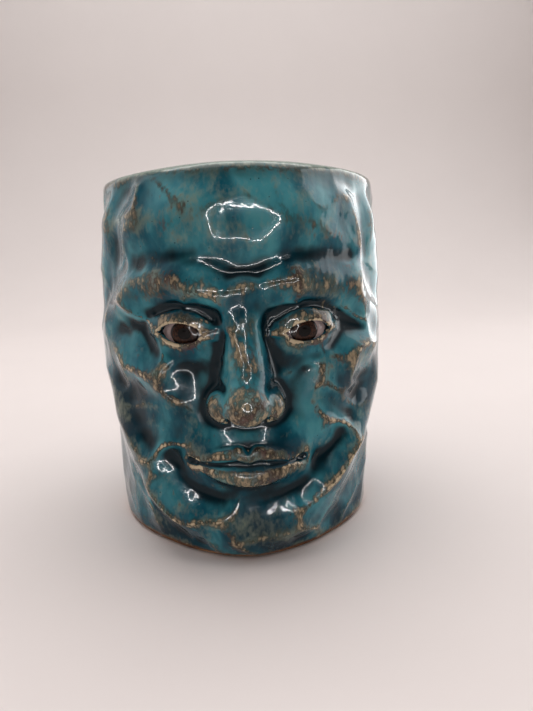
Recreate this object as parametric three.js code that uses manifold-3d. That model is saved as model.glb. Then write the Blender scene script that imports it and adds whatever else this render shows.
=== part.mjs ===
// A hand-built stoneware mug with a face modelled on its front, in millimetres.
// +Z is up, the mug stands on Z = 0 about the Z axis, and the face looks along -Y.
// Left and right are the face's own, so its left side is at +X.
//
// It is put together as a potter builds it. A rolled wall is wrapped round a floor slab, and then balls, pads
// and coils of clay are pressed onto the wall, each one onto those before it. Every lump of clay is one mesh,
// and each keeps a thin slip joint to what it sits on. The kiln makes them one rigid object.

import * as THREE from "three";
import { mergeVertices } from "three/addons/utils/BufferGeometryUtils.js";
import Module from "manifold-3d";

const wasm = await Module();
wasm.setup();

// ---- Driving dimensions ----

const HEIGHT = 105; // table to rim
const RADIUS = 41.8; // outside of the wall, before the hand-made unevenness
const BELLY = 0.8; // how much fuller the wall is at mid height
const WALL_LOW = 5.0; // wall thickness at the floor
const WALL_HIGH = 3.8; // and at the rim
const FLOOR = 6.0; // thickness of the floor slab
const FOOT_BEVEL = 0.8; // sponged edge under the wall
const JOINT = 0.3; // slip joint between two pieces of clay

// The face in thirds: rim to brow, brow to nose base, and nose base to chin.
const THIRD = 33;
const BROW_Z = 74;
const NOSE_Z = BROW_Z - THIRD;
const CHIN_Z = NOSE_Z - THIRD;
const EYE_Z = BROW_Z - 0.31 * THIRD;
const MOUTH_Z = NOSE_Z - THIRD / 3;
const EYE_X = 14.6; // the face is five eyes wide, so each eye is centred one eye from the middle
const MASK_DEPTH = 2.0; // how far the wall is pushed out under the face
const SOCKET_DEPTH = 2.0; // and how far it is pressed back in behind each eye

const ROUND_STEPS = 72; // sides of the wall and the floor
const WALL_RINGS = 13;
const COIL_SIDES = 9;
const STEPS_PER_SPAN = 3; // rings of a coil between two of its points
const BALL_SIDES = 16;
const BALL_RINGS = 10;

const CLAY = { color: 0x1f5f6b, roughness: 0.15, metalness: 0 };
const EYE_CLAY = { color: 0xb9aca8, roughness: 0.08, metalness: 0 };
const FOOT_CLAY = { color: 0x9a7350, roughness: 0.85, metalness: 0 };

// ---- The round body ----

// How far the hand-rolled wall strays from a true cylinder, at an angle from the front and a height.
// The front, which carries the face, strays least.
function unevenness(angle, z) {
  const freedom = 0.2 + 0.4 * (1 - Math.cos(angle));
  const sway = 0.8 * Math.sin(2 * angle + 0.9 + z / 60) + 0.5 * Math.sin(3 * angle - 1.3 - z / 30);
  return freedom * (sway + 0.3 * Math.sin(5 * angle + 0.4 + z / 14));
}

function rimLift(angle) {
  return 0.6 * Math.sin(2 * angle + 0.4) + 0.35 * Math.sin(3 * angle + 2);
}

function outerRadius(z) {
  return RADIUS + BELLY * Math.sin((Math.PI * z) / HEIGHT);
}

// How far the outside of the wall is pushed out under the face: a soft oval with two eye sockets in it.
function maskRelief(x, y, z) {
  const front = THREE.MathUtils.smoothstep(-y, 0, 20);
  const oval = 1 - THREE.MathUtils.smoothstep(Math.hypot(x / 38, (z - 50) / 56), 0.86, 1.13);
  const socket = Math.exp(-(((Math.abs(x) - EYE_X) / 8.2) ** 2) - ((z - EYE_Z - 1) / 6) ** 2);
  return front * (MASK_DEPTH * oval - SOCKET_DEPTH * socket);
}

// Turns a profile of [radius, z] points into a round body with the hand-made unevenness. The relief under
// the face is all there on the outside of the wall, and fades to nothing at the inside.
function handRound(profile) {
  const points = profile.map(([radius, z]) => new THREE.Vector2(radius, z));
  const geometry = new THREE.LatheGeometry(points, ROUND_STEPS).rotateX(Math.PI / 2);
  const position = geometry.attributes.position;
  for (let i = 0; i < position.count; i++) {
    const [x, y, z] = [position.getX(i), position.getY(i), position.getZ(i)];
    const radius = Math.hypot(x, y);
    if (radius < 1e-6) continue;
    const angle = Math.atan2(x, -y);
    const outward = THREE.MathUtils.smoothstep(radius, innerRadius(z), outerRadius(z));
    const push = unevenness(angle, z) * (radius / RADIUS) + outward * maskRelief(x, y, z);
    const scale = (radius + push) / radius;
    const lift = rimLift(angle) * THREE.MathUtils.smoothstep(z, 0.5 * HEIGHT, HEIGHT);
    position.setXYZ(i, x * scale, y * scale, z + lift);
  }
  return geometry;
}

// The wall's rings, from the foot's bevel to where the lip starts to round over.
const LIP_RADIUS = WALL_HIGH / 2;
const SHOULDER = HEIGHT - LIP_RADIUS;
const ringHeights = Array.from({ length: WALL_RINGS }, (_, i) =>
  THREE.MathUtils.lerp(FOOT_BEVEL, SHOULDER, i / (WALL_RINGS - 1)),
);

function innerRadius(z) {
  return outerRadius(z) - THREE.MathUtils.lerp(WALL_LOW, WALL_HIGH, z / HEIGHT);
}

// The wall's profile: from under the foot, up the outside, over the rounded lip, and down the inside.
function wallProfile() {
  const outside = ringHeights.map((z) => [outerRadius(z), z]);
  const inside = [0, ...ringHeights.slice(1)].map((z) => [innerRadius(z), z]).reverse();
  const lipCentre = outerRadius(SHOULDER) - LIP_RADIUS;
  const lipArc = [45, 90, 135].map((degrees) => {
    const turn = THREE.MathUtils.degToRad(degrees);
    return [lipCentre + LIP_RADIUS * Math.cos(turn), SHOULDER + LIP_RADIUS * Math.sin(turn)];
  });
  const foot = [outerRadius(0) - FOOT_BEVEL, 0];
  return [foot, ...outside, ...lipArc, ...inside, foot];
}

function floorProfile() {
  return [
    [0, 0],
    [innerRadius(0) - JOINT, 0],
    [innerRadius(FLOOR) - JOINT, FLOOR],
    [0, FLOOR],
  ];
}

// The space that the wall and floor take up, grown by one joint, which cuts the back of each face piece.
function bodySpace() {
  const side = ringHeights.map((z) => [outerRadius(z) + JOINT, z]);
  return handRound([[0, 0], [outerRadius(0) + JOINT, 0], ...side, [0, HEIGHT]]);
}

// ---- Lumps of clay ----

// A point at x and z, standing h proud of the wall.
function at(x, z, h) {
  const angle = Math.asin(x / RADIUS);
  const radius = RADIUS + h;
  return new THREE.Vector3(radius * Math.sin(angle), -radius * Math.cos(angle), z);
}

// A ball or pad: radii across, out of the wall and up, turned to face out from the wall at its place,
// and tilted in the wall's plane by a lean in degrees.
function ball(centre, [across, out, up], lean = 0) {
  return (grow) => {
    const geometry = new THREE.SphereGeometry(1, BALL_SIDES, BALL_RINGS);
    geometry.rotateX(Math.PI / 2).scale(across + grow, out + grow, up + grow);
    geometry.rotateY(THREE.MathUtils.degToRad(lean));
    geometry.rotateZ(Math.atan2(centre.x, -centre.y));
    return geometry.translate(centre.x, centre.y, centre.z);
  };
}

// A coil: a round-ended roll along a smooth curve through [x, z, h, radius] points.
function coil(stations) {
  return (grow) => {
    const curve = new THREE.CatmullRomCurve3(stations.map(([x, z, h]) => at(x, z, h)));
    const spans = stations.length - 1;
    const steps = spans * STEPS_PER_SPAN;
    const frames = curve.computeFrenetFrames(steps);
    const rings = [];
    const addRing = (i, shift, share) => {
      const along = curve.getUtoTmapping(i / steps) * spans;
      const span = Math.min(Math.floor(along), spans - 1);
      const radius = grow + THREE.MathUtils.lerp(stations[span][3], stations[span + 1][3], along - span);
      const centre = curve.getPointAt(i / steps).addScaledVector(frames.tangents[i], shift * radius);
      rings.push({ centre, radius: radius * share, side: frames.normals[i], up: frames.binormals[i] });
    };
    const [half, full] = [Math.SQRT1_2, 1];
    addRing(0, -full, 0);
    addRing(0, -half, half);
    for (let i = 0; i <= steps; i++) addRing(i, 0, full);
    addRing(steps, half, half);
    addRing(steps, full, 0);
    return loft(rings);
  };
}

// Joins rings of COIL_SIDES points into one closed surface, whose first and last rings are single points.
function loft(rings) {
  const positions = [];
  for (const { centre, radius, side, up } of rings) {
    for (let k = 0; k < COIL_SIDES; k++) {
      const turn = (2 * Math.PI * k) / COIL_SIDES;
      const point = centre.clone();
      point.addScaledVector(side, radius * Math.cos(turn)).addScaledVector(up, radius * Math.sin(turn));
      positions.push(point.x, point.y, point.z);
    }
  }
  const triangles = [];
  for (let ring = 0; ring < rings.length - 1; ring++) {
    for (let k = 0; k < COIL_SIDES; k++) {
      const next = (k + 1) % COIL_SIDES;
      const [a, b] = [ring * COIL_SIDES + k, ring * COIL_SIDES + next];
      const [c, d] = [a + COIL_SIDES, b + COIL_SIDES];
      if (ring > 0) triangles.push(a, b, c);
      if (ring < rings.length - 2) triangles.push(b, d, c);
      else triangles.push(b, c, c);
    }
  }
  const geometry = new THREE.BufferGeometry();
  geometry.setAttribute("position", new THREE.Float32BufferAttribute(positions, 3));
  geometry.setIndex(triangles);
  return geometry;
}

// ---- Booleans ----

function solidOf(geometry) {
  const plain = geometry.clone();
  for (const name of Object.keys(plain.attributes)) if (name !== "position") plain.deleteAttribute(name);
  const merged = mergeVertices(plain, 1e-3);
  const index = merged.index.array;
  const triVerts = [];
  for (let i = 0; i < index.length; i += 3) {
    const [a, b, c] = index.slice(i, i + 3);
    if (a !== b && b !== c && a !== c) triVerts.push(a, b, c);
  }
  const vertProperties = merged.attributes.position.array;
  return new wasm.Manifold(
    new wasm.Mesh({ numProp: 3, vertProperties, triVerts: new Uint32Array(triVerts) }),
  );
}

function geometryOf(solid) {
  const mesh = solid.getMesh();
  const geometry = new THREE.BufferGeometry();
  geometry.setAttribute("position", new THREE.BufferAttribute(new Float32Array(mesh.vertProperties), 3));
  geometry.setIndex(new THREE.BufferAttribute(new Uint32Array(mesh.triVerts), 1));
  geometry.computeVertexNormals();
  return geometry;
}

function joined(lumps, grow) {
  return lumps.map((lump) => solidOf(lump(grow))).reduce((sum, solid) => sum.add(solid));
}

// ---- The face, one entry for each piece of clay, in the order they go on ----

// A piece that comes in a left and a right copy. side is +1 on the face's left and -1 on its right.
function pair(name, lumpsOf) {
  return [
    { name: "left_" + name, lumps: lumpsOf(1) },
    { name: "right_" + name, lumps: lumpsOf(-1) },
  ];
}

const jawCoil = (side) => [
  coil([
    [side * 8, CHIN_Z + 3, -1.0, 6],
    [side * 19, CHIN_Z + 9, -1.2, 6.8],
    [side * 29, MOUTH_Z, -1.8, 7.0],
    [side * 36, MOUTH_Z + 18, -3.2, 7.4],
  ]),
];

const cheek = (side) => [
  ball(at(side * 26, NOSE_Z + 13.5, -0.2), [13, 6.8, 8], side * -18),
  ball(at(side * 36.5, NOSE_Z + 17, -1.4), [11, 5.6, 11]),
  ball(at(side * 20.5, NOSE_Z + 1, -2), [10, 6.6, 13], side * 12),
];

const temple = (side) => [
  coil([
    [side * 36, BROW_Z + 17, -4.2, 6.4],
    [side * 39, BROW_Z + 5, -3.8, 6.6],
    [side * 39.6, EYE_Z, -4.0, 6.2],
  ]),
];

const forehead = [
  coil([
    [-23, BROW_Z + 15, -6.4, 9.6],
    [-12, BROW_Z + 17, -6.2, 10.5],
    [0, BROW_Z + 16.5, -6.0, 10.5],
    [12, BROW_Z + 17, -6.2, 10.5],
    [23, BROW_Z + 15, -6.4, 9.6],
  ]),
];

const mouthMound = [ball(at(0, MOUTH_Z + 1, -2), [16.5, 8.6, 12.5])];

const chinPad = [ball(at(0, CHIN_Z + 3, -1.2), [13, 8, 9.5])];

const brow = (side) => [
  coil([
    [side * 4.2, BROW_Z - 0.2, 2.0, 3.5],
    [side * 11, BROW_Z + 1.8, 3.0, 4.0],
    [side * 20, BROW_Z + 1.6, 2.5, 4.2],
    [side * 29, BROW_Z - 2, 0.8, 4.0],
    [side * 35, BROW_Z - 9, -1.2, 3.6],
  ]),
];

const noseWedge = [
  coil([
    [0, BROW_Z - 0.8, 1.8, 4.2],
    [0, EYE_Z + 1, 3.0, 3.6],
    [0, EYE_Z - 9, 5.8, 3.7],
    [0, NOSE_Z + 5.8, 9.2, 4.1],
  ]),
  coil([
    [0, EYE_Z + 2, -0.5, 5.0],
    [0, NOSE_Z + 7, 1.8, 7.4],
  ]),
  ball(at(0, NOSE_Z + 4.9, 9.2), [5.0, 4.3, 4.0]),
];

const nostril = (side) => [ball(at(side * 5.7, NOSE_Z + 4.0, 4.8), [3.5, 4.8, 3.9], side * 12)];

const eyeball = (side) => [ball(at(side * EYE_X, EYE_Z, -1), [8.2, 6, 7])];

// A lid follows the eyeball from corner to corner: rise is how far its middle stands from the eye's centre.
const eyelid = (side, rise) => [
  coil([
    [side * (EYE_X - 7.8), EYE_Z - 0.6, 2.6, 1.1],
    [side * (EYE_X - 3.6), EYE_Z + 0.75 * rise, 3.6, 1.6],
    [side * (EYE_X + 1), EYE_Z + rise, 3.8, 1.8],
    [side * (EYE_X + 5), EYE_Z + 0.65 * rise, 3.0, 1.6],
    [side * (EYE_X + 8.2), EYE_Z, 1.6, 1.1],
  ]),
];

const lowerLip = [
  coil([
    [-12.6, MOUTH_Z - 1.2, 3.2, 1.1],
    [-6.5, MOUTH_Z - 2.7, 5.3, 2.4],
    [0, MOUTH_Z - 3.1, 6.2, 2.8],
    [6.5, MOUTH_Z - 2.7, 5.3, 2.4],
    [12.6, MOUTH_Z - 1.2, 3.2, 1.1],
  ]),
];

const upperLip = [
  coil([
    [-13.2, MOUTH_Z - 0.4, 3.0, 1.0],
    [-7, MOUTH_Z + 1.7, 5.2, 1.8],
    [-2.2, MOUTH_Z + 2.8, 6.4, 2.0],
    [2.2, MOUTH_Z + 2.8, 6.4, 2.0],
    [7, MOUTH_Z + 1.7, 5.2, 1.8],
    [13.2, MOUTH_Z - 0.4, 3.0, 1.0],
  ]),
];

const facePieces = [
  ...pair("jaw_coil", jawCoil),
  ...pair("cheek_pad", cheek),
  ...pair("temple_coil", temple),
  { name: "forehead_coil", lumps: forehead },
  { name: "mouth_mound", lumps: mouthMound },
  { name: "chin_pad", lumps: chinPad },
  ...pair("brow_coil", brow),
  { name: "nose_wedge", lumps: noseWedge },
  ...pair("nostril_ball", nostril),
  ...pair("eyeball", eyeball),
  ...pair("lower_eyelid", (side) => eyelid(side, -4.6)),
  ...pair("upper_eyelid", (side) => eyelid(side, 5.0)),
  { name: "lower_lip", lumps: lowerLip },
  { name: "upper_lip", lumps: upperLip },
];

// ---- Assembly ----

const mug = new THREE.Group();

function addPiece(name, geometry, look) {
  const mesh = new THREE.Mesh(geometry, new THREE.MeshStandardMaterial(look));
  mesh.name = name;
  mug.add(mesh);
}

addPiece("wall", handRound(wallProfile()), CLAY);
addPiece("floor_slab", handRound(floorProfile()), FOOT_CLAY);

let taken = solidOf(bodySpace());
for (const { name, lumps } of facePieces) {
  const look = name.endsWith("eyeball") ? EYE_CLAY : CLAY;
  addPiece(name, geometryOf(joined(lumps, 0).subtract(taken)), look);
  taken = taken.add(joined(lumps, JOINT));
}

export default mug;
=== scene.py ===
"""A hand-built stoneware face mug: the glazed clay body, its face of coils and pads, and the studio.

The clay is worked out as a distance field in millimetres, with the same driving dimensions as the CAD
model, and its skin is then parted along the joints between the coils and pads, one object for each.
"""
import math

import bpy
import numpy as np
import openvdb
from mathutils import Matrix, Vector


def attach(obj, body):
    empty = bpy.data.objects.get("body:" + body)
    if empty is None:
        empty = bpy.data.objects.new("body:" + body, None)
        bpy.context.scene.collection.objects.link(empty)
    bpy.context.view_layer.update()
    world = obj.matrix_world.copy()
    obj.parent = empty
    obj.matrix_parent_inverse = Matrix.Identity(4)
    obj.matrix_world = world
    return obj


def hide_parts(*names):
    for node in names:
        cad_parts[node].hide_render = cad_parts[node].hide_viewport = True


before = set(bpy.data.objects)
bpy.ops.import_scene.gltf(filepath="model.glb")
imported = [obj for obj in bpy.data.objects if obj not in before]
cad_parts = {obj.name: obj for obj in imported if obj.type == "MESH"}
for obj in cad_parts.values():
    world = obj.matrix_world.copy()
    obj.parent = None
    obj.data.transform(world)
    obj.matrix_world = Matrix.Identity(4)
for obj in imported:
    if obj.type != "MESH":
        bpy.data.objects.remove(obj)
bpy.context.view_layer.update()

MM = 0.001

# The mug, in millimetres: +Z is up and the face looks along -Y.
HEIGHT = 105.0
RADIUS = 41.8
BELLY = 0.8
WALL_LOW = 5.0
WALL_HIGH = 3.8
FLOOR = 6.0
FOOT_ROUND = 2.2
LIP_ROUND = 3.0
CAVITY_ROUND = 3.0
SLAB_TOP = 30.0
SLAB_UNDER = RADIUS - WALL_LOW
LEDGE = FLOOR - 2.0

# The face in thirds from hairline to chin, and five eye widths across.
THIRD = 33.0
BROW_Z = 74.0
NOSE_Z = BROW_Z - THIRD
CHIN_Z = NOSE_Z - THIRD
EYE_Z = BROW_Z - 0.31 * THIRD
MOUTH_Z = NOSE_Z - THIRD / 3
EYE_X = 14.6
EYE_SINK = -1.0
EYE_SEAT = 2.5
EYE_RADII = (8.2, 6.0, 7.0)
IRIS_RADIUS = 3.5
PUPIL_RADIUS = 1.6
GAZE_TURN = 0.5
MASK_DEPTH = 2.0
SOCKET_DEPTH = 2.0
ROOT_DEPTH = 1.2

# The grid that the clay is sampled on, and how far a lump's blend with its neighbours reaches.
VOXEL = 0.5
BLOCK = 4
REACH = 9.0
FAR = 20.0
COIL_STEPS = 6
SIDES = (("left", 1), ("right", -1))

# The camera, in millimetres and degrees, and the ring light round its lens.
LENS = 25.97
CAMERA_PLACE = (-1.99, -172.4, 85.5)
PITCH, YAW, ROLL = 12.23, 3.30, -0.91
RING_RADIUS = 58.0
RING_THICKNESS = 1.2
RING_GLOW = 120.0

# The white cards beside the mug: metres to its left, and how strongly each one glows.
CARDS = (("left_card", 0.45, 4.2), ("right_card", -0.45, 1.0))


# ---------------------------------------------------------------- distances and blends

def smoothstep(low, high, value):
    """0 up to low, 1 from high on, and a smooth rise between; low may be the greater of the two."""
    t = np.clip((value - low) / (high - low), 0, 1)
    return t * t * (3 - 2 * t)


def blend_min(a, b, width):
    """The union of two distances, with a fillet of about that width where they meet."""
    h = np.clip(0.5 + 0.5 * (b - a) / width, 0, 1)
    return b + (a - b) * h - width * h * (1 - h)


def blend_max(a, b, width):
    """What two distances share, with an edge rounded over about that width."""
    return -blend_min(-a, -b, width)


class Lump:
    """One piece of clay: its distance function, and a sphere that holds it."""

    def __init__(self, distance, centre, reach):
        self.distance = distance
        self.centre = np.asarray(centre, float)
        self.reach = reach

    def near(self, points):
        """Which of the points are close enough for the lump to matter."""
        offset = points - self.centre
        return np.where((offset * offset).sum(1) < (self.reach + REACH) ** 2)[0]


def at(x, z, lift):
    """The point lift outside the wall, x to the face's left and z up, with 0 on the face's middle line."""
    angle = math.asin(x / RADIUS)
    radius = RADIUS + lift
    return np.array([radius * math.sin(angle), -radius * math.cos(angle), z])


def axes_at(point):
    """Across, out and up at a point on the wall."""
    angle = math.atan2(point[0], -point[1])
    across = np.array([math.cos(angle), math.sin(angle), 0.0])
    out = np.array([math.sin(angle), -math.cos(angle), 0.0])
    return across, out, np.array([0.0, 0.0, 1.0])


def ball(centre, radii, lean=0.0):
    """An ellipsoid of clay, radii across, out and up, leaning by an angle about its outward axis."""
    across, out, up = axes_at(centre)
    turn = math.radians(lean)
    axes = np.stack([math.cos(turn) * across - math.sin(turn) * up, out,
                     math.sin(turn) * across + math.cos(turn) * up])
    scale = np.array(radii)[:, None]

    def distance(points):
        offset = points - centre
        unit = np.linalg.norm(offset @ (axes / scale).T, axis=1)
        slope = np.linalg.norm(offset @ (axes / scale ** 2).T, axis=1) + 1e-9
        return unit * (unit - 1) / slope

    return Lump(distance, centre, max(radii))


def smooth_path(stations):
    """Points on the Catmull-Rom curve through the stations."""
    stations = np.asarray(stations, float)
    spans = len(stations) - 1
    ends = np.vstack([2 * stations[0] - stations[1], stations, 2 * stations[-1] - stations[-2]])
    place = np.linspace(0, spans, spans * COIL_STEPS + 1)
    first = np.minimum(place.astype(int), spans - 1)
    t = (place - first)[:, None]
    a, b, c, d = (ends[first + i] for i in range(4))
    return 0.5 * (2 * b + (c - a) * t + (2 * a - 5 * b + 4 * c - d) * t ** 2
                  + (3 * b - a - 3 * c + d) * t ** 3)


def coil(stations):
    """A rolled coil of clay through stations of x, z, lift and radius."""
    path = smooth_path([[*at(x, z, lift), radius] for x, z, lift, radius in stations])
    middle = (path[:, :3].max(0) + path[:, :3].min(0)) / 2
    reach = np.linalg.norm(path[:, :3] - middle, axis=1).max() + path[:, 3].max()

    def distance(points):
        best = np.full(len(points), FAR * 10)
        for start, end in zip(path[:-1], path[1:]):
            span = end[:3] - start[:3]
            offset = points - start[:3]
            t = np.clip(offset @ span / (span @ span), 0, 1)
            gap = np.linalg.norm(offset - t[:, None] * span, axis=1)
            best = np.minimum(best, gap - start[3] - (end[3] - start[3]) * t)
        return best

    return Lump(distance, middle, reach)


class Clay:
    """Lumps that make one sub-part.

    press is how widely it blends into what is already there, and own how widely its lumps blend together.
    """

    def __init__(self, name, lumps, press, own=1.5):
        self.name = name
        self.lumps = lumps
        self.press = press
        self.own = own

    def distance(self, points):
        total = np.full(len(points), FAR)
        for lump in self.lumps:
            near = lump.near(points)
            if len(near):
                total[near] = blend_min(total[near], lump.distance(points[near]), self.own)
        return total


# ---------------------------------------------------------------- the face, in the order it is built up

def jaw_coil(s):
    return [coil([[s * 8, CHIN_Z + 3, -1.0, 6], [s * 19, CHIN_Z + 9, -1.2, 6.8],
                  [s * 29, MOUTH_Z, -1.8, 7.0], [s * 36, MOUTH_Z + 18, -3.2, 7.4]])]


def cheek_pad(s):
    return [ball(at(s * 26, NOSE_Z + 13.5, -0.2), (13, 6.8, 8), s * -18),
            ball(at(s * 36.5, NOSE_Z + 17, -1.4), (11, 5.6, 11)),
            ball(at(s * 20.5, NOSE_Z + 1, -2), (10, 6.6, 13), s * 12)]


def temple_coil(s):
    return [coil([[s * 36, BROW_Z + 17, -4.2, 6.4], [s * 39, BROW_Z + 5, -3.8, 6.6],
                  [s * 39.6, EYE_Z, -4.0, 6.2]])]


def forehead_coil():
    return [coil([[-23, BROW_Z + 15, -6.4, 9.6], [-12, BROW_Z + 17, -6.2, 10.5],
                  [0, BROW_Z + 16.5, -6.0, 10.5], [12, BROW_Z + 17, -6.2, 10.5],
                  [23, BROW_Z + 15, -6.4, 9.6]])]


def mouth_mound():
    return [ball(at(0, MOUTH_Z + 1, -2), (16.5, 8.6, 12.5))]


def chin_pad():
    return [ball(at(0, CHIN_Z + 3, -1.2), (13, 8, 9.5))]


def brow_coil(s):
    return [coil([[s * 4.2, BROW_Z - 0.2, 2.0, 3.5], [s * 11, BROW_Z + 1.8, 3.0, 4.0],
                  [s * 20, BROW_Z + 1.6, 2.5, 4.2], [s * 29, BROW_Z - 2, 0.8, 4.0],
                  [s * 35, BROW_Z - 9, -1.2, 3.6]])]


def nose_wedge():
    return [coil([[0, BROW_Z - 0.8, 1.8, 4.2], [0, EYE_Z + 1, 3.0, 3.6],
                  [0, EYE_Z - 9, 5.8, 3.7], [0, NOSE_Z + 5.8, 9.2, 4.1]]),
            coil([[0, EYE_Z + 2, -0.5, 5.0], [0, NOSE_Z + 7, 1.8, 7.4]]),
            ball(at(0, NOSE_Z + 4.9, 9.2), (5.0, 4.3, 4.0))]


def nostril_ball(s):
    return [ball(at(s * 5.7, NOSE_Z + 4.0, 4.8), (3.5, 4.8, 3.9), s * 12)]


def eye_centre(s):
    return at(s * EYE_X, EYE_Z, EYE_SINK)


def eyelid(s, upper):
    """A lid as a shell over the eyeball, open in an almond and cut along the line where the lids meet."""
    centre = eye_centre(s)
    across, _, _ = axes_at(centre)
    thickness = 1.7 if upper else 1.35
    shell = ball(centre, [radius + thickness for radius in EYE_RADII])
    half_width, above, below, tilt = 7.4, 2.7, 2.5, 0.03
    top_radius = (half_width ** 2 + above ** 2) / (2 * above)
    low_radius = (half_width ** 2 + below ** 2) / (2 * below)

    def distance(points):
        u = (points - centre) @ across * s
        v = points[:, 2] - centre[2] - tilt * u
        opening = np.maximum(np.hypot(u, v + top_radius - above) - top_radius,
                             np.hypot(u, v - low_radius + below) - low_radius)
        shut = blend_max(shell.distance(points), -opening, 0.5)
        return blend_max(shut, -v if upper else v, 0.3)

    return [Lump(distance, centre, shell.reach)]


def lower_lip():
    return [coil([[-12.6, MOUTH_Z - 1.2, 3.2, 1.1], [-6.5, MOUTH_Z - 2.7, 5.3, 2.4],
                  [0, MOUTH_Z - 3.1, 6.2, 2.8], [6.5, MOUTH_Z - 2.7, 5.3, 2.4],
                  [12.6, MOUTH_Z - 1.2, 3.2, 1.1]])]


def upper_lip():
    return [coil([[-13.2, MOUTH_Z - 0.4, 3.0, 1.0], [-7, MOUTH_Z + 1.7, 5.2, 1.8],
                  [-2.2, MOUTH_Z + 2.8, 6.4, 2.0], [0, MOUTH_Z + 2.2, 6.6, 2.0],
                  [2.2, MOUTH_Z + 2.8, 6.4, 2.0], [7, MOUTH_Z + 1.7, 5.2, 1.8],
                  [13.2, MOUTH_Z - 0.4, 3.0, 1.0]])]


def pairs(name, lumps_of, press, own=1.5):
    """A sub-part on each side of the face."""
    return [Clay(f"{side}_{name}", lumps_of(s), press, own) for side, s in SIDES]


def face_clay():
    """The face's sub-parts, in the order in which they go on."""
    return [
        *pairs("jaw_coil", jaw_coil, 5.0),
        *pairs("cheek_pad", cheek_pad, 3.6, own=4.0),
        *pairs("temple_coil", temple_coil, 4.5),
        Clay("forehead_coil", forehead_coil(), 8.0),
        Clay("mouth_mound", mouth_mound(), 4.2),
        Clay("chin_pad", chin_pad(), 6.0),
        *pairs("brow_coil", brow_coil, 5.5),
        Clay("nose_wedge", nose_wedge(), 2.6, own=4.0),
        *pairs("nostril_ball", nostril_ball, 2.8),
        *pairs("lower_eyelid", lambda s: eyelid(s, False), 3.4),
        *pairs("upper_eyelid", lambda s: eyelid(s, True), 2.4),
        Clay("lower_lip", lower_lip(), 1.4),
        Clay("upper_lip", upper_lip(), 1.0),
    ]


def lid_fold(s):
    return coil([[s * 7.5, EYE_Z + 3.6, 3.6, 0.3], [s * 11, EYE_Z + 6.0, 4.9, 0.45],
                 [s * 15.5, EYE_Z + 6.8, 4.9, 0.5], [s * 21, EYE_Z + 4.8, 3.8, 0.35]])


def mouth_line():
    return coil([[-13.8, MOUTH_Z - 0.8, 4.2, 0.5], [-6.5, MOUTH_Z - 0.5, 7.4, 0.45],
                 [0, MOUTH_Z - 0.7, 8.4, 0.45], [6.5, MOUTH_Z - 0.5, 7.4, 0.45],
                 [13.8, MOUTH_Z - 0.8, 4.2, 0.5]])


def tool_cuts():
    """Hollows pressed with a modelling tool after the clay is on."""
    nostrils = [ball(at(s * 3.4, NOSE_Z + 0.8, 7.6), (1.7, 3.2, 2.0)) for _, s in SIDES]
    philtrum = coil([[0, NOSE_Z - 1.5, 7.8, 1.1], [0, MOUTH_Z + 5, 8.4, 1.3]])
    corners = [ball(at(s * 13.6, MOUTH_Z - 0.8, 4.5), (1.4, 1.1, 0.9)) for _, s in SIDES]
    return [
        Clay("nostrils", nostrils, 1.0),
        Clay("philtrum", [philtrum], 1.6),
        Clay("mouth_line", [mouth_line()], 0.8),
        Clay("mouth_corners", corners, 1.8),
        Clay("lid_folds", [lid_fold(s) for _, s in SIDES], 1.2),
    ]


FACE = face_clay()
CUTS = tool_cuts()


# ---------------------------------------------------------------- the body and the marks of hands

def unevenness(angle, z):
    """How far the hand-built wall strays from round, more at the back than under the face."""
    freedom = 0.2 + 0.4 * (1 - np.cos(angle))
    sway = 0.8 * np.sin(2 * angle + 0.9 + z / 60) + 0.5 * np.sin(3 * angle - 1.3 - z / 30)
    return freedom * (sway + 0.3 * np.sin(5 * angle + 0.4 + z / 14))


def rim_lift(angle):
    """How far the uneven rim stands over or under its mean height."""
    return 0.6 * np.sin(2 * angle + 0.4) + 0.35 * np.sin(3 * angle + 2)


def outer_radius(z):
    """The wall's radius at a height, before its unevenness."""
    return RADIUS + BELLY * np.sin(np.pi * z / HEIGHT)


def presses(angle, z, columns, tall, soft, seed):
    """Scoops left by fingers in a loose grid: 0 in each scoop's middle, rising to ridges between them."""
    rows = int(HEIGHT / tall) + 4
    jitter = np.random.default_rng(seed).random((columns, rows, 2)) * 0.8 + 0.1
    u = (angle / (2 * np.pi) + 0.5) * columns
    v = z / tall + 2
    column = np.floor(u).astype(int)
    row = np.floor(v).astype(int)
    total = np.zeros(len(u))
    for i in (-1, 0, 1):
        for j in (-1, 0, 1):
            shift = jitter[(column + i) % columns, np.clip(row + j, 0, rows - 1)]
            gap = (u - column - i - shift[:, 0]) ** 2 + (v - row - j - shift[:, 1]) ** 2
            total += np.exp(-gap / soft)
    return -soft * np.log(total + 1e-9)


def calm_share(angle, z, x):
    """How much the finger marks show on the face: little at the eyes, the mouth and the brow."""
    eyes = np.exp(-(((np.abs(x) - EYE_X) / 10.5) ** 2 + ((z - EYE_Z) / 7.5) ** 2))
    middle = np.exp(-((x / 19) ** 6 + ((z - MOUTH_Z - 8) / 23) ** 2))
    corners = np.exp(-(((np.abs(x) - 13) / 6) ** 2 + ((z - MOUTH_Z) / 5) ** 2))
    brow = 0.8 * smoothstep(0.8, 0.3, np.abs(angle)) * smoothstep(BROW_Z, BROW_Z + 8, z)
    return (1 - np.maximum(0.97 * eyes, 0.95 * np.maximum(middle, corners))) * (1 - brow)


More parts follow.
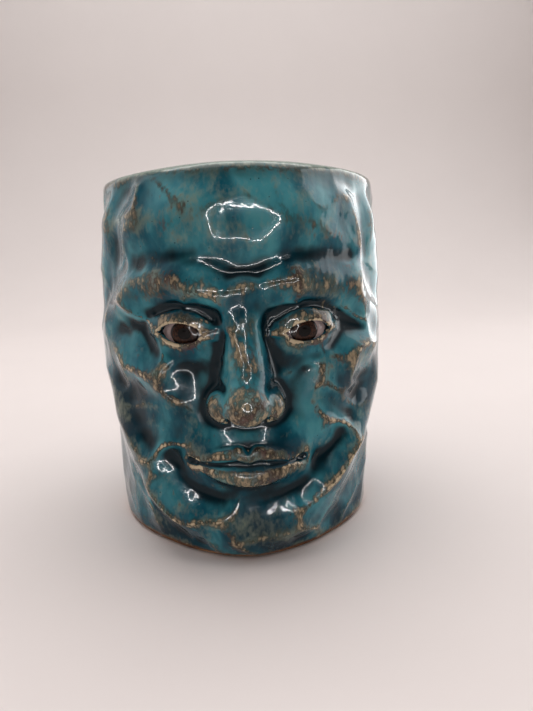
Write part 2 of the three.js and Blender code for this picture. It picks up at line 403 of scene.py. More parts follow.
def handwork(angle, z, x):
    """The depth of finger marks: tall strokes on the sides and back, and thumb marks on the face."""
    back = smoothstep(0.66, 1.02, np.abs(angle))
    ends = smoothstep(0, 7, z) * smoothstep(HEIGHT, HEIGHT - 6, z)
    wander = 0.09 * np.sin(z / 8.0 + 2 * angle) + 0.06 * np.sin(z / 4.3 - 5 * angle)
    drift = angle + wander + 0.035 * np.sin(z / 2.7 + 8 * angle)
    rise = z + 2.6 * np.sin(4 * angle + z / 15.0) + 1.6 * np.sin(9 * angle - z / 11.0)
    rise = rise + 1.1 * np.sin(16 * angle + z / 5.0)
    strokes = presses(angle + 0.35 * wander, rise, columns=18, tall=60.0, soft=0.07, seed=3)
    thumb = presses(drift, rise, columns=21, tall=12.0, soft=0.045, seed=5)
    small = presses(drift, rise, columns=52, tall=5.2, soft=0.07, seed=8)
    sides = (0.3 + 1.5 * back) * (strokes - 0.2)
    face = (1 - 0.8 * back) * calm_share(angle, z, x) * (3.2 * (thumb - 0.2) + 0.2 * (small - 0.2))
    return ends * (sides + face)


def mask_relief(z, x, y):
    """The thin slab that the face is built on, with its eye sockets pressed in."""
    front = smoothstep(0, 20, -y)
    oval = smoothstep(1.13, 0.86, np.hypot(x / 38, (z - 50) / 56))
    sockets = np.exp(-(((np.abs(x) - EYE_X) / 8.2) ** 2 + ((z - EYE_Z - 1) / 6.0) ** 2))
    return front * (MASK_DEPTH * oval - SOCKET_DEPTH * sockets)


def level_of(points):
    """Height over the floor as the rim sees it: the same all round the uneven rim."""
    x, y, z = points.T
    return z - rim_lift(np.arctan2(x, -y)) * smoothstep(0.5 * HEIGHT, HEIGHT, z)


def clay_distance(points, parted=False):
    """Distance to the clay's skin, and if parted, also to each sub-part and to the drink's space."""
    x, y, z = points.T
    rho = np.hypot(x, y)
    angle = np.arctan2(x, -y)
    stray = unevenness(angle, z)
    level = level_of(points)
    wall = rho - outer_radius(z) - stray - mask_relief(z, x, y)
    skin = wall
    parts = [wall]
    for clay in FACE:
        parts.append(clay.distance(points))
        skin = blend_min(skin, parts[-1], clay.press)
    for cut in CUTS:
        skin = blend_max(skin, -cut.distance(points), cut.press)
    skin = skin - handwork(angle, z, x)
    thickness = WALL_LOW + (WALL_HIGH - WALL_LOW) * level / HEIGHT
    inside = rho - outer_radius(level) - stray + thickness
    drink = blend_max(inside, FLOOR - level, CAVITY_ROUND)
    trued = rho * (1 - stray / RADIUS)
    drink = np.minimum(drink, trued - SLAB_TOP)
    drink = np.minimum(drink, np.maximum(trued - SLAB_UNDER, level - LEDGE))
    skin = blend_max(skin, level - HEIGHT, LIP_ROUND)
    skin = blend_max(skin, -z, FOOT_ROUND)
    skin = blend_max(skin, -drink, LIP_ROUND * 0.8)
    return (skin, parts, drink) if parted else skin


# ---------------------------------------------------------------- from distances to one skin

def lattice(axes):
    """Every point of the grid that three lists of coordinates span."""
    return np.stack(np.meshgrid(*axes, indexing="ij"), -1).reshape(-1, 3)


def sample_clay():
    """Distances on a fine grid near the skin and a coarse one elsewhere, and the grid's first point."""
    low = np.array([-RADIUS - 10, -RADIUS - 20, -4.0])
    high = np.array([RADIUS + 10, RADIUS + 8, HEIGHT + 5])
    wide = VOXEL * BLOCK
    counts = np.ceil((high - low) / wide).astype(int)
    middles = [low[i] + wide * (np.arange(counts[i]) + 0.5) for i in range(3)]
    coarse = clay_distance(lattice(middles)).reshape(counts)
    fine = coarse.astype(np.float32)
    for axis in range(3):
        fine = np.repeat(fine, BLOCK, axis)
    cells = lattice([np.arange(BLOCK)] * 3)
    inner = lattice([(np.arange(BLOCK) + 0.5) * VOXEL] * 3)
    blocks = np.argwhere(np.abs(coarse) < wide * 1.3)
    for batch in np.array_split(blocks, max(1, len(blocks) // 5000)):
        points = (low + batch * wide)[:, None] + inner
        values = clay_distance(points.reshape(-1, 3))
        index = (batch[:, None] * BLOCK + cells).reshape(-1, 3)
        fine[tuple(index.T)] = values
    return fine, low + VOXEL / 2


def slope_at(points, step=0.12):
    """The gradient of the clay's distance."""
    slope = np.empty_like(points)
    for axis in range(3):
        shift = np.zeros(3)
        shift[axis] = step
        slope[:, axis] = (clay_distance(points + shift) - clay_distance(points - shift)) / (2 * step)
    return slope


def carve_skin():
    """The mug's whole skin as points, outward quads and unit normals."""
    values, first = sample_clay()
    grid = openvdb.FloatGrid(float(values.max()))
    grid.copyFromArray(values)
    points, quads = grid.convertToQuads(0.0)
    points = first + points.astype(float) * VOXEL
    slope = slope_at(points)
    size = np.maximum((slope * slope).sum(1), 0.2)
    move = np.clip(clay_distance(points) / size, -0.7 * VOXEL, 0.7 * VOXEL)
    points = points - move[:, None] * slope
    normals = slope_at(points)
    normals /= np.linalg.norm(normals, axis=1)[:, None] + 1e-12
    return points, quads.astype(np.int64), normals


def average_over(edges, count, rounds):
    """A function that smooths values over the skin's own edges, rounds times."""
    a, b = edges.T
    weight = np.bincount(a, minlength=count) + np.bincount(b, minlength=count)

    def smooth(values):
        values = values.reshape(count, -1)
        for _ in range(rounds):
            around = np.empty_like(values)
            for column in range(values.shape[1]):
                item = values[:, column]
                total = np.bincount(a, item[b], count) + np.bincount(b, item[a], count)
                around[:, column] = total / weight
            values = 0.5 * (values + around)
        return values

    return smooth


def quad_sides(quads):
    """Every side of every quad, each running the way its own quad does."""
    return np.concatenate([quads[:, [i, (i + 1) % 4]] for i in range(4)])


def skin_edges(quads):
    """The quads' edges, each once."""
    return np.unique(np.sort(quad_sides(quads), axis=1), axis=0)


def bulges(points, normals, edges):
    """How far the skin stands proud of its surroundings at three scales, in millimetres."""
    result = []
    for radius in (1.0, 2.6, 6.0):
        rounds = max(2, int((radius / VOXEL) ** 2))
        level = average_over(edges, len(points), rounds)(points)
        bulge = ((points - level) * normals).sum(1)
        result.append(average_over(edges, len(points), 3)(bulge)[:, 0])
    return result


# ---------------------------------------------------------------- parting the skin into sub-parts

def nearest_clay(points):
    """For each point of the skin, 0 for the wall or 1 and up for the face's sub-parts."""
    labels = np.empty(len(points), int)
    for batch in np.array_split(np.arange(len(points)), 8):
        _, parts, drink = clay_distance(points[batch], parted=True)
        nearest = np.argmin(np.stack(parts), axis=0)
        outside = (drink > 1.0) & (points[batch, 2] < HEIGHT - 2.5) & (points[batch, 2] > 0.4)
        labels[batch] = np.where(outside, nearest, 0)
    return labels


def settle(labels, quads, rounds=4):
    """Each quad's sub-part, with ragged borders and strays given to what surrounds them."""
    corner = np.sort(labels[quads], axis=1)
    faces = np.where(corner[:, 1] == corner[:, 2], corner[:, 1], corner[:, 0])
    count, kinds = labels.size, len(FACE) + 1
    for _ in range(rounds):
        votes = np.zeros((count, kinds), np.int16)
        for i in range(4):
            np.add.at(votes, (quads[:, i], faces), 1)
        tally = sum(votes[quads[:, i]] for i in range(4))
        faces = np.argmax(tally, axis=1)
    for kind in range(1, kinds):
        members = np.where(faces == kind)[0]
        faces[members[~largest_island(quads[members])]] = 0
    return faces


def largest_island(quads):
    """Which of the quads belong to their biggest connected patch."""
    if not len(quads):
        return np.zeros(0, bool)
    names, local = np.unique(quads, return_inverse=True)
    local = local.reshape(quads.shape)
    island = np.arange(len(names))
    while True:
        lowest = island[local].min(1)
        new = island.copy()
        for i in range(4):
            np.minimum.at(new, local[:, i], lowest)
        new = new[new]
        if (new == island).all():
            break
        island = new
    owner = island[local[:, 0]]
    return owner == np.bincount(owner).argmax()


def roots_of(points):
    """Where each point of the skin meets the wall behind it: a sub-part is solid down to there."""
    x, y, z = points.T
    rho = np.hypot(x, y)
    angle = np.arctan2(x, -y)
    depth = np.minimum(outer_radius(z) + unevenness(angle, z) - ROOT_DEPTH, rho - 1.0)
    root = points.copy()
    root[:, :2] *= (depth / rho)[:, None]
    root[:, 2] = np.clip(z, 1.5, HEIGHT - 3.5)
    return root


def border_of(quads):
    """The sides that only one of the quads has."""
    sides = quad_sides(quads)
    low, high = sides.min(1), sides.max(1)
    _, place, uses = np.unique(low * (quads.max() + 1) + high, return_inverse=True, return_counts=True)
    return sides[uses[place] == 1]


def new_object(name, vertices, faces):
    """A mesh object in the scene."""
    mesh = bpy.data.meshes.new(name)
    mesh.from_pydata(np.asarray(vertices, float).tolist(), [], faces)
    obj = bpy.data.objects.new(name, mesh)
    bpy.context.scene.collection.objects.link(obj)
    return obj


def closed_piece(name, skin, outer, hidden):
    """A closed mesh: its share of the skin, a hidden back on the roots, and a rim between the two."""
    points, normals, roots, values = skin
    border = border_of(outer)
    offset = len(points)
    rim = np.stack([border[:, 1], border[:, 0], border[:, 0] + offset, border[:, 1] + offset], axis=1)
    quads = np.concatenate([outer, hidden + offset, rim])
    used, index = np.unique(quads, return_inverse=True)
    index = index.reshape(quads.shape)
    everything = np.concatenate([points, roots])[used]
    obj = new_object(name, everything * MM, index.tolist())
    mesh = obj.data
    smooth = np.zeros(len(quads), bool)
    smooth[:len(outer)] = True
    mesh.polygons.foreach_set("use_smooth", smooth)
    for key, value in values.items():
        attribute = mesh.attributes.new(key, "FLOAT", "POINT")
        attribute.data.foreach_set("value", np.concatenate([value, value])[used].astype(np.float32))
    mesh.update()
    face_normals = np.zeros((len(quads), 3), np.float32)
    mesh.polygons.foreach_get("normal", face_normals.ravel())
    loops = np.repeat(face_normals[:, None], 4, axis=1)
    loops[:len(outer)] = normals[outer]
    mesh.normals_split_custom_set(loops.reshape(-1, 3).tolist())
    return obj


# ---------------------------------------------------------------- the clay pieces

def build_clay():
    """The wall and the face's sub-parts, each riding on the mug and standing for its CAD node."""
    points, quads, normals = carve_skin()
    fine, broad, wide = bulges(points, normals, skin_edges(quads))
    owner = settle(nearest_clay(points), quads)
    values = {"fine": fine, "broad": broad, "wide": wide, "level": level_of(points)}
    skin = (points, normals, roots_of(points), values)
    face = owner > 0
    wall = closed_piece("glazed_wall", skin, quads[~face], quads[face])
    pieces = [(wall, "wall")]
    for number, clay in enumerate(FACE, start=1):
        mine = quads[owner == number]
        pieces.append((closed_piece("glazed_" + clay.name, skin, mine, mine[:, ::-1]), clay.name))
    return pieces


def spun_faces(rings, sides):
    """The faces of a first pole, rings of vertices and a last pole, numbered in that order."""
    last = 1 + rings * sides
    faces = []
    for k in range(sides):
        after = (k + 1) % sides
        faces.append((0, 1 + after, 1 + k))
        for ring in range(rings - 1):
            a, b = 1 + ring * sides + k, 1 + ring * sides + after
            faces.append((a, b, b + sides, a + sides))
        faces.append((last, last - sides + k, last - sides + after))
    return faces


def hand_thrown(name, profile, sides):
    """A closed piece, round but for the wall's unevenness, from pairs of radius and height."""
    turns = np.linspace(0, 2 * np.pi, sides, endpoint=False)
    vertices = [(0, 0, profile[0][1])]
    for r, z in profile[1:-1]:
        radii = r * (1 + unevenness(turns, z) / RADIUS)
        vertices += zip(radii * np.sin(turns), -radii * np.cos(turns), np.full(sides, z))
    vertices.append((0, 0, profile[-1][1]))
    return new_object(name, np.array(vertices) * MM, spun_faces(len(profile) - 2, sides))


def build_floor_slab():
    """The disc that closes the bottom, its top flange feathered over the joint with the wall."""
    seam, bevel, flange, top = 0.3, 0.8, 1.6, FLOOR + 0.03
    under, neck, ledge = SLAB_UNDER - seam, SLAB_TOP - seam, LEDGE - seam
    profile = [(0, 0), (under - bevel, 0), (under, bevel), (under, ledge), (neck, ledge), (neck, FLOOR - 1),
               (SLAB_TOP + flange, FLOOR), (SLAB_TOP + flange, top), (SLAB_TOP - 4, top), (0, top)]
    return hand_thrown("floor_disc", profile, 120)


def gaze_axes(centre):
    """Where an eye looks, between out of the wall and straight ahead, and two axes across that."""
    inward = GAZE_TURN * math.atan2(centre[0], -centre[1])
    gaze = np.array([-math.sin(inward), math.cos(inward), 0.0]) / np.array(EYE_RADII)
    gaze /= np.linalg.norm(gaze)
    sideways = np.cross(gaze, [0, 0, 1.0])
    sideways /= np.linalg.norm(sideways)
    return gaze, sideways, np.cross(sideways, gaze)


def build_eyeball(side, s):
    """An eyeball seated in the wall, with a ring cut round its iris and a hollow pressed for its pupil."""
    centre = eye_centre(s)
    gaze, sideways, upward = gaze_axes(centre)
    rings = np.radians(np.concatenate([np.arange(1.5, 42, 1.1), np.arange(44, 180, 4.0)]))
    turns = np.linspace(0, 2 * np.pi, 80, endpoint=False)
    circle = np.cos(turns)[:, None] * sideways + np.sin(turns)[:, None] * upward
    vertices = [gaze]
    for ring in rings:
        vertices.extend(math.cos(ring) * gaze + math.sin(ring) * circle)
    vertices.append(-gaze)
    sphere = np.array(vertices)

    mean_radius = 7.4
    from_iris = np.arccos(np.clip(sphere @ gaze, -1, 1)) * mean_radius
    cut = 0.10 * np.exp(-((from_iris - IRIS_RADIUS) / 0.35) ** 2)
    pupil = 0.10 * smoothstep(PUPIL_RADIUS + 0.3, PUPIL_RADIUS - 0.7, from_iris)
    iris = 0.05 * smoothstep(IRIS_RADIUS, IRIS_RADIUS - 0.8, from_iris)
    local = sphere * (np.array(EYE_RADII) - (cut + pupil + iris)[:, None])
    world = centre + local @ np.stack(axes_at(centre))
    x, y, z = world.T
    rho = np.hypot(x, y)
    seat = outer_radius(z) + unevenness(np.arctan2(x, -y), z) - EYE_SEAT
    world[:, :2] *= (np.maximum(rho, seat) / rho)[:, None]

    obj = new_object(f"{side}_glazed_eye", world * MM, spun_faces(len(rings), len(turns)))
    mesh = obj.data
    mesh.polygons.foreach_set("use_smooth", np.ones(len(mesh.polygons), bool))
    attribute = mesh.attributes.new("from_iris", "FLOAT", "POINT")
    attribute.data.foreach_set("value", from_iris.astype(np.float32))
    mesh.update()
    return obj


# ---------------------------------------------------------------- materials

def srgb(red, green, blue):
    """A colour given as 0 to 255 in sRGB, as Blender's linear values."""
    shares = [value / 255 for value in (red, green, blue)]
    return (*[c / 12.92 if c <= 0.04 else ((c + 0.055) / 1.055) ** 2.4 for c in shares], 1.0)


class Shader:
    """A node material, with one short call for each kind of node that these materials use."""

    def __init__(self, name):
        self.material = bpy.data.materials.new(name)
        self.material.use_nodes = True
        self.tree = self.material.node_tree
        self.surface = self.tree.nodes["Principled BSDF"]
        self.place = self.add("ShaderNodeTexCoord").outputs["Object"]

    def add(self, kind, **settings):
        """A new node, with its settings."""
        node = self.tree.nodes.new(kind)
        for key, value in settings.items():
            setattr(node, key, value)
        return node

    def feed(self, socket, value):
        """Links another node's output to a socket, or sets the socket to a constant."""
        if isinstance(value, bpy.types.NodeSocket):
            self.tree.links.new(value, socket)
        else:
            socket.default_value = value

    def math(self, operation, *values):
        node = self.add("ShaderNodeMath", operation=operation)
        for socket, value in zip(node.inputs, values):
            self.feed(socket, value)
        return node.outputs[0]

    def total(self, *terms):
        """The sum of value and weight pairs."""
        result = 0.0
        for value, weight in terms:
            result = self.math("MULTIPLY_ADD", value, weight, result)
        return result

    def step(self, value, low, high):
        """0 up to low, 1 from high on, and a smooth rise between."""
        node = self.add("ShaderNodeMapRange", interpolation_type="SMOOTHSTEP")
        for socket, item in zip(node.inputs, (value, low, high, 0.0, 1.0)):
            self.feed(socket, item)
        return node.outputs[0]

    def mix(self, share, first, second):
        """The first colour where share is 0, and the second where it is 1."""
        node = self.add("ShaderNodeMix", data_type="RGBA", clamp_factor=True)
        self.feed(node.inputs["Factor"], share)
        self.feed(node.inputs[6], first)
        self.feed(node.inputs[7], second)
        return node.outputs[2]

    def layered(self, colour, layers):
        """A colour with others laid over it in turn, each given by its share, its strength and itself."""
        for share, strength, layer in layers:
            if strength < 1:
                share = self.math("MULTIPLY", share, strength)
            colour = self.mix(share, colour, layer)
        return colour

    def stretched(self, scale):
        """The place on the object, scaled along each axis."""
        node = self.add("ShaderNodeVectorMath", operation="MULTIPLY")
        self.feed(node.inputs[0], self.place)
        node.inputs[1].default_value = scale
        return node.outputs[0]

    def noise(self, size, detail=3.0, warp=0.0, source=None, offset=0.0):
        """Noise from 0 to 1 about 0.5, with features of that size in millimetres."""
        node = self.add("ShaderNodeTexNoise", noise_dimensions="4D")
        self.feed(node.inputs["Vector"], source or self.place)
        node.inputs["W"].default_value = offset
        node.inputs["Scale"].default_value = 1 / (size * MM)
        node.inputs["Detail"].default_value = detail
        node.inputs["Distortion"].default_value = warp
        return node.outputs["Fac"]

    def spots(self, size):
        """Distance to the nearest of many scattered points, as a share of their spacing in millimetres."""
        node = self.add("ShaderNodeTexVoronoi")
        self.feed(node.inputs["Vector"], self.place)
        node.inputs["Scale"].default_value = 1 / (size * MM)
        return node.outputs["Distance"]

    def attribute(self, name):
        return self.add("ShaderNodeAttribute", attribute_name=name).outputs["Fac"]

    def height(self):
        """Height over the foot's underside, in millimetres."""
        node = self.add("ShaderNodeSeparateXYZ")
        self.feed(node.inputs[0], self.place)
        return self.math("MULTIPLY", node.outputs["Z"], 1 / MM)

    def from_axis(self):
        """Distance from the mug's upright axis, in millimetres."""
        node = self.add("ShaderNodeVectorMath", operation="LENGTH")
        self.feed(node.inputs[0], self.stretched((1, 1, 0)))
        return self.math("MULTIPLY", node.outputs["Value"], 1 / MM)

    def bump(self, height, distance, strength, below=None):
        """A normal for relief of that many millimetres, on top of the relief below it."""
        node = self.add("ShaderNodeBump")
        self.feed(node.inputs["Height"], height)
        node.inputs["Distance"].default_value = distance * MM
        node.inputs["Strength"].default_value = strength
        if below:
            self.feed(node.inputs["Normal"], below)
        return node.outputs["Normal"]

    def finish(self, **inputs):
        """Feeds the surface's inputs, and gives the material."""
        for name, value in inputs.items():
            self.feed(self.surface.inputs[name.replace("_", " ")], value)
        return self.material


DEEP_TEAL = srgb(4, 46, 60)
TEAL = srgb(12, 112, 134)
PALE_TEAL = srgb(88, 166, 172)
POOL = srgb(2, 30, 39)
OLIVE = srgb(30, 42, 38)
TAN = srgb(186, 167, 136)
UMBER = srgb(116, 104, 84)
CREAM = srgb(214, 198, 166)
CREAM_CLOUD = srgb(150, 160, 138)
RIM_GLAZE = srgb(150, 168, 156)
RUST = srgb(96, 38, 30)
BARE_CLAY = srgb(158, 112, 70)
BURNT_CLAY = srgb(96, 58, 34)


def glossy_coat(shader):
    """A clear melted skin over the colour: sharp reflections, weak where the surface is seen square on."""
    shader.surface.inputs["Specular IOR Level"].default_value = 0.05
    shader.surface.inputs["Coat Roughness"].default_value = 0.012
    shader.surface.inputs["Coat IOR"].default_value = 1.22


def clay_colour(shader):
    """Bare stoneware: warm tan with darker toasted patches and iron specks."""
    patches = shader.noise(9, detail=4)
    specks = shader.step(shader.spots(1.3), 0.16, 0.06)
    return shader.layered(BARE_CLAY, [(shader.step(patches, 0.4, 0.65), 1.0, BURNT_CLAY),
                                      (specks, 0.6, srgb(40, 26, 20))])


def teal_glaze():
    """Deep teal that breaks to tan and cream on edges, pools nearly black in hollows and blushes rust."""
    g = Shader("teal_glaze")
    fine, broad, wide = g.attribute("fine"), g.attribute("broad"), g.attribute("wide")
    height, level = g.height(), g.attribute("level")
    flow = g.stretched((1, 1, 0.55))
    clouds = g.noise(15, detail=4, warp=0.6, source=flow)
    mottle = g.noise(3.8, detail=5, warp=0.8, source=flow)
    grain = g.noise(0.9, detail=4, source=flow, offset=3.0)
    blush = g.noise(12, detail=5, warp=1.0, source=flow, offset=7.0)
    drift = g.noise(8, detail=3, warp=0.5, offset=11.0)

    # Where the melt runs off an edge: narrow crests, and wider swells.
    breakup = g.math("SUBTRACT", g.total((mottle, 3.2), (grain, 2.6), (clouds, 0.4)), 2.55)
    crest = g.math("SUBTRACT", g.total((fine, 15.0), (broad, -2.2)), 0.05)
    ridge = g.math("MULTIPLY", g.math("MINIMUM", crest, 0.8), breakup)
    rounded = g.math("SUBTRACT", g.total((broad, 1.8), (wide, 0.28)), 0.12)
    swell = g.math("MULTIPLY", g.math("MINIMUM", rounded, 0.36), breakup)
    broken_tan = g.mix(g.step(grain, 0.4, 0.62), UMBER, TAN)

    # How thick it lies, and what floats or settles in it.
    thin = g.total((height, 0.35 / HEIGHT), (clouds, 2.2), (broad, 0.3))
    pale = g.total((thin, 1.0), (mottle, 0.9))
    sunk = g.total((wide, -0.75), (broad, -1.6), (fine, -3.0), (mottle, 0.6))
    milky = g.total((drift, 1.0), (grain, 0.6), (fine, 3.0), (broad, 0.6), (wide, 0.2))
    worn = g.step(g.total((broad, 1.0), (grain, 0.5)), 0.3, 0.46)
    rusty = g.math("MULTIPLY", g.step(blush, 0.46, 0.6), worn)
    pinholes = g.step(g.spots(2.6), 0.085, 0.05)

    # The pale rim, and the line round the foot that was wiped bare.
    below_lip = g.total((level, 1.0), (mottle, 5.0))
    lip = g.total((level, 1.0), (mottle, 2.6), (grain, 1.2))
    ragged = g.total((height, 1.0), (g.noise(3.5, detail=3, offset=5.0), -1.8))
    bare = g.step(ragged, 0.75, 0.35)

    colour = g.layered(g.mix(g.step(thin, 0.84, 1.8), DEEP_TEAL, TEAL), [
        (g.step(pale, 1.55, 2.25), 0.7, PALE_TEAL),
        (g.step(sunk, 0.33, 0.95), 1.0, POOL),
        (g.step(milky, 0.82, 1.2), 0.55, CREAM_CLOUD),
        (rusty, 0.7, RUST),
        (g.step(swell, 0.01, 0.14), 0.6, OLIVE),
        (g.step(swell, 0.1, 0.32), 0.8, broken_tan),
        (g.step(ridge, 0.03, 0.1), 0.7, OLIVE),
        (g.step(ridge, 0.08, 0.2), 1.0, broken_tan),
        (g.step(ridge, 0.15, 0.32), 1.0, CREAM),
        (pinholes, 0.7, POOL),
        (g.step(below_lip, HEIGHT - 4.0, HEIGHT + 1.0), 0.6, OLIVE),
        (g.step(lip, HEIGHT - 0.2, HEIGHT + 1.6), 0.85, RIM_GLAZE),
        (g.step(ragged, 1.5, 0.8), 0.8, BURNT_CLAY),
        (bare, 1.0, clay_colour(g)),
    ])

    waves = g.bump(g.noise(7, detail=2, offset=2.0), 0.5, 0.45)
    orange_peel = g.total((g.noise(1.6, detail=3, offset=4.0), 1.0), (pinholes, -1.5))
    skin = g.bump(orange_peel, 0.03, 0.6, below=waves)
    roughness = g.total((g.step(ridge, 0.1, 0.4), 0.16), (bare, 0.5), (grain, 0.08), (0.16, 1.0))
    glossy_coat(g)
    return g.finish(Base_Color=colour, Roughness=roughness, Normal=skin,
                    Coat_Weight=g.math("SUBTRACT", 1.0, bare), Coat_Normal=skin)


def eye_glaze():
    """Pinkish-grey white with a dark brown iris, dirtied with the teal and darkened with painted shade
    round the lids.
    """
    g = Shader("eye_glaze")
    out = g.attribute("from_iris")
    streaks = g.noise(0.5, detail=2)
    stain = g.noise(2.4, detail=4, offset=2.0)
    brown = g.mix(g.step(streaks, 0.35, 0.65), srgb(70, 42, 28), srgb(34, 20, 15))
    colour = g.layered(srgb(186, 170, 168), [
        (g.step(stain, 0.35, 0.7), 1.0, srgb(138, 122, 122)),
        # Dark grey-teal towards the eyeball's edge: teal glaze run onto the white, and painted shade where
        # the lids overhang it.
        (g.step(g.total((out, 1.0), (stain, 3.0)), 8.2, 10.5), 1.0, srgb(58, 72, 72)),
        (g.step(out, IRIS_RADIUS + 0.25, IRIS_RADIUS - 0.05), 1.0, srgb(24, 17, 15)),
        (g.step(out, IRIS_RADIUS - 0.25, IRIS_RADIUS - 0.7), 1.0, brown),
        (g.step(out, PUPIL_RADIUS + 0.15, PUPIL_RADIUS - 0.15), 1.0, srgb(8, 6, 6)),
    ])
    waves = g.bump(g.noise(3, detail=1, offset=6.0), 0.04, 0.4)
    glossy_coat(g)
    g.surface.inputs["Coat Weight"].default_value = 1.0
    return g.finish(Base_Color=colour, Roughness=g.total((stain, 0.2), (0.12, 1.0)), Normal=waves,
                    Coat_Normal=waves)


def floor_clay():
    """Teal glaze on top, inside the mug, pooled darker round the edge, and bare stoneware underneath."""
    g = Shader("floor_clay")
    clouds = g.noise(12, detail=4, warp=0.6)
    pooled = g.step(g.total((g.from_axis(), 1.0), (clouds, 6.0)), SLAB_TOP - 9, SLAB_TOP + 3)
    bare = g.step(g.height(), FLOOR - 0.5, FLOOR - 1.0)
    colour = g.layered(DEEP_TEAL, [(g.step(clouds, 0.35, 0.65), 1.0, TEAL), (pooled, 1.0, POOL),
                                   (bare, 1.0, clay_colour(g))])
    roughness = g.total((bare, 0.6), (clouds, 0.2), (0.1, 1.0))
    rough = g.bump(g.noise(0.9, detail=4), 0.12, 0.6)
    glossy_coat(g)
    return g.finish(Base_Color=colour, Roughness=roughness, Normal=rough,
                    Coat_Weight=g.math("SUBTRACT", 1.0, bare))


# ---------------------------------------------------------------- the studio and the camera

def backdrop():
    """A pale paper sweep: flat floor, a wide curve and an upright back."""
    half_width, front, back, bend = 1.6, -1.6, 0.62, 0.3
    outline = [(front, 0.0), (-0.4, 0.0), (back - bend, 0.0)]
    outline += [(back - bend + bend * math.sin(a), bend - bend * math.cos(a))
                for a in np.radians(np.arange(6, 91, 6))]
    outline.append((back, 1.4))
    vertices = [(x, y, z) for y, z in outline for x in (-half_width, half_width)]
    faces = [(2 * i, 2 * i + 1, 2 * i + 3, 2 * i + 2) for i in range(len(outline) - 1)]
    obj = new_object("paper_sweep", vertices, faces)
    obj.data.polygons.foreach_set("use_smooth", np.ones(len(faces), bool))
    paper = Shader("paper")
    tone = paper.mix(paper.noise(60, detail=2), srgb(226, 219, 216), srgb(222, 215, 212))
    obj.data.materials.append(paper.finish(Base_Color=tone, Roughness=0.9))


def soft_box(name, place, aim, size, power):
    """An oblong lamp that faces the point aim."""
    data = bpy.data.lights.new(name, "AREA")
    data.shape = "RECTANGLE"
    data.size, data.size_y = size
    data.energy = power
    obj = bpy.data.objects.new(name, data)
    bpy.context.scene.collection.objects.link(obj)
    obj.location = place
    obj.rotation_euler = (Vector(aim) - Vector(place)).to_track_quat("-Z", "Y").to_euler()


def reflected_only(obj, strength):
    """Makes a piece of the studio glow, seen only in reflections."""
    obj.visible_camera = False
    obj.visible_diffuse = False
    obj.visible_shadow = False
    glow = Shader("glow_" + obj.name)
    glow.surface.inputs["Emission Strength"].default_value = strength
    obj.data.materials.append(glow.finish(Base_Color=(0, 0, 0, 1), Emission_Color=(1, 1, 1, 1)))


def side_card(name, x, strength):
    """A white card standing beside the mug."""
    corners = [(x, y, z) for y, z in ((-0.1, 0.0), (0.5, 0.0), (0.5, 0.6), (-0.1, 0.6))]
    reflected_only(new_object(name, corners, [(0, 1, 2, 3)]), strength)


def ring_light(place, facing):
    """A thin glowing ring round the lens."""
    around, across = 96, 8
    vertices, faces = [], []
    for i in range(around):
        a = 2 * math.pi * i / around
        here, after = i * across, (i + 1) % around * across
        for j in range(across):
            b = 2 * math.pi * j / across
            r = RING_RADIUS + RING_THICKNESS * math.cos(b)
            vertices.append((r * math.cos(a), r * math.sin(a), RING_THICKNESS * math.sin(b)))
            beside = (j + 1) % across
            faces.append((here + j, after + j, after + beside, here + beside))
    obj = new_object("ring_light", np.array(vertices) * MM, faces)
    obj.location = place
    obj.rotation_euler = facing.to_euler()
    reflected_only(obj, RING_GLOW)


def studio_camera():
    """A phone's wide lens close to the mug, a little above it and looking down."""
    pitch, yaw, roll = map(math.radians, (PITCH, YAW, ROLL))
    sight = Vector((math.sin(yaw) * math.cos(pitch), math.cos(yaw) * math.cos(pitch), -math.sin(pitch)))
    turn = sight.to_track_quat("-Z", "Y").to_matrix() @ Matrix.Rotation(roll, 3, "Z")
    data = bpy.data.cameras.new("camera")
    data.lens = LENS
    data.clip_start = 0.01
    obj = bpy.data.objects.new("camera", data)
    bpy.context.scene.collection.objects.link(obj)
    obj.location = Vector(CAMERA_PLACE) * MM
    obj.rotation_euler = turn.to_euler()
    bpy.context.scene.camera = obj
    return obj.location, turn


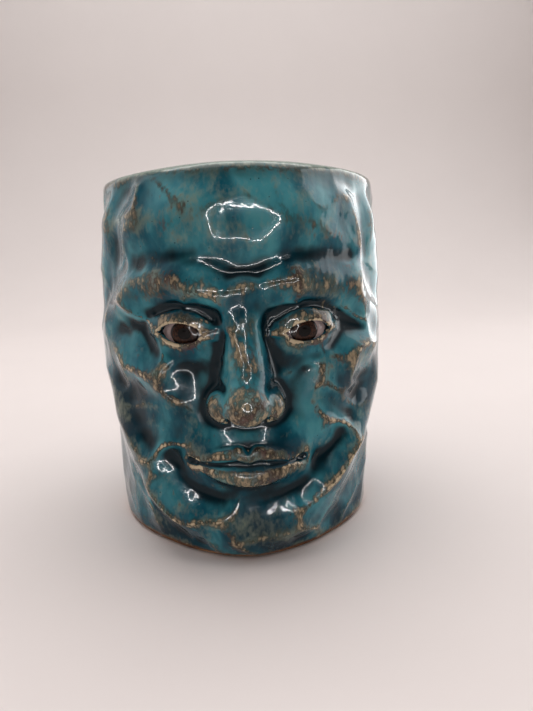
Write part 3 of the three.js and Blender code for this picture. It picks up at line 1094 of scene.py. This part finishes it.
def light_the_room():
    """A white tent, dim on the camera's side, with one lamp above the mug and one above the backdrop."""
    world = bpy.data.worlds.new("tent")
    world.use_nodes = True
    nodes, links = world.node_tree.nodes, world.node_tree.links
    direction = nodes.new("ShaderNodeTexCoord").outputs["Generated"]
    split = nodes.new("ShaderNodeSeparateXYZ")
    links.new(direction, split.inputs[0])
    fall = nodes.new("ShaderNodeMapRange")
    fall.interpolation_type = "SMOOTHSTEP"
    for socket, value in zip(fall.inputs, (0.0, -0.75, -0.05, 0.06, 1.21)):
        socket.default_value = value
    links.new(split.outputs["Y"], fall.inputs["Value"])
    glow = nodes["Background"]
    glow.inputs["Color"].default_value = srgb(238, 228, 226)
    links.new(fall.outputs[0], glow.inputs["Strength"])
    seen = nodes.new("ShaderNodeBackground")
    seen.inputs["Color"].default_value = srgb(206, 199, 197)
    choice = nodes.new("ShaderNodeMixShader")
    links.new(nodes.new("ShaderNodeLightPath").outputs["Is Camera Ray"], choice.inputs[0])
    links.new(glow.outputs[0], choice.inputs[1])
    links.new(seen.outputs[0], choice.inputs[2])
    links.new(choice.outputs[0], nodes["World Output"].inputs[0])
    bpy.context.scene.world = world
    soft_box("top_box", (0, 0.10, 0.62), (0, 0, 0.05), (0.7, 0.45), 2.0)
    soft_box("back_box", (0, 0.30, 0.75), (0, 0.55, 0.35), (0.9, 0.2), 1.9)


# ---------------------------------------------------------------- the scene

def place_piece(piece, node, material):
    """Finishes a piece, and says what it rides on and which CAD node it stands for."""
    piece.data.materials.append(material)
    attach(piece, "root")
    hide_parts(node)


lens_place, lens_turn = studio_camera()
backdrop()
light_the_room()
ring_light(lens_place, lens_turn)
for card, x, strength in CARDS:
    side_card(card, x, strength)
bpy.context.scene.view_settings.view_transform = "Standard"

glaze = teal_glaze()
for piece, node in build_clay():
    place_piece(piece, node, glaze)
place_piece(build_floor_slab(), "floor_slab", floor_clay())
eyes = eye_glaze()
for side, s in SIDES:
    place_piece(build_eyeball(side, s), f"{side}_eyeball", eyes)
